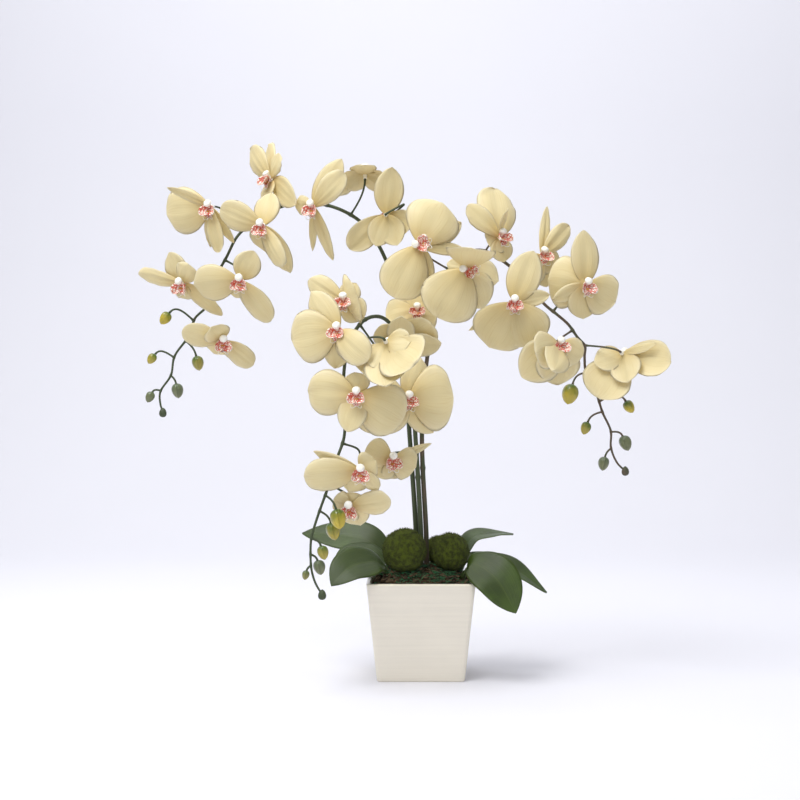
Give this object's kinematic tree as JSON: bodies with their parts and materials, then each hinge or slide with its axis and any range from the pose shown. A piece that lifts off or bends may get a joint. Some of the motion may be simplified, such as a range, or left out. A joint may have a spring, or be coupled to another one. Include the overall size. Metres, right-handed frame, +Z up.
{
  "type": "potted orchid",
  "caption": "Moth orchid with cream flowers and buds on arching spikes, strap leaves and moss balls in a square tapered ceramic pot.",
  "frame": {"origin": "middle of the pot's underside, on the surface it stands on", "axes": "+Z up; -Y the front that the forward-arching spike hangs over; +X to the right seen from the front"},
  "size_m": [0.5925, 0.2521, 0.6083],
  "materials": {
    "pot_glaze": "satin cream glaze with faint brushed lines",
    "fill": "loose dark bark mix",
    "bark": "matt bark chips with green moss strands",
    "moss": "matt fuzzy moss",
    "leaf": "satin leaf with a midrib groove",
    "stem": "satin green stem",
    "petal": "soft matt cream petal",
    "bud": "satin green bud tinged yellow"
  },
  "bodies": {
    "root": {"pot": "pot_glaze", "potting_fill": "fill", "bark_dressing": "bark", "moss_ball_left": "moss", "moss_ball_right": "moss", "moss_ball_back": "moss", "leaf_left_back": "leaf", "leaf_left": "leaf", "leaf_left_front": "leaf", "leaf_right_back": "leaf", "leaf_right": "leaf", "leaf_right_front": "leaf", "left_spike": "stem", "left_flower_1": "petal", "left_flower_2": "petal", "left_flower_3": "petal", "left_flower_4": "petal", "left_flower_5": "petal", "left_flower_6": "petal", "left_flower_7": "petal", "left_flower_8": "petal", "left_flower_9": "petal", "left_bud_1": "bud", "left_bud_2": "bud", "left_bud_3": "bud", "left_bud_4": "bud", "left_bud_5": "bud", "right_spike": "stem", "right_flower_1": "petal", "right_flower_2": "petal", "right_flower_3": "petal", "right_flower_4": "petal", "right_flower_5": "petal", "right_flower_6": "petal", "right_flower_7": "petal", "right_flower_8": "petal", "right_flower_9": "petal", "right_bud_1": "bud", "right_bud_2": "bud", "right_bud_3": "bud", "right_bud_4": "bud", "right_bud_5": "bud", "front_spike": "stem", "front_flower_1": "petal", "front_flower_2": "petal", "front_flower_3": "petal", "front_flower_4": "petal", "front_flower_5": "petal", "front_flower_6": "petal", "front_flower_7": "petal", "front_flower_8": "petal", "front_flower_9": "petal", "front_bud_1": "bud", "front_bud_2": "bud", "front_bud_3": "bud", "front_bud_4": "bud", "front_bud_5": "bud"}
  },
  "joints": []
}
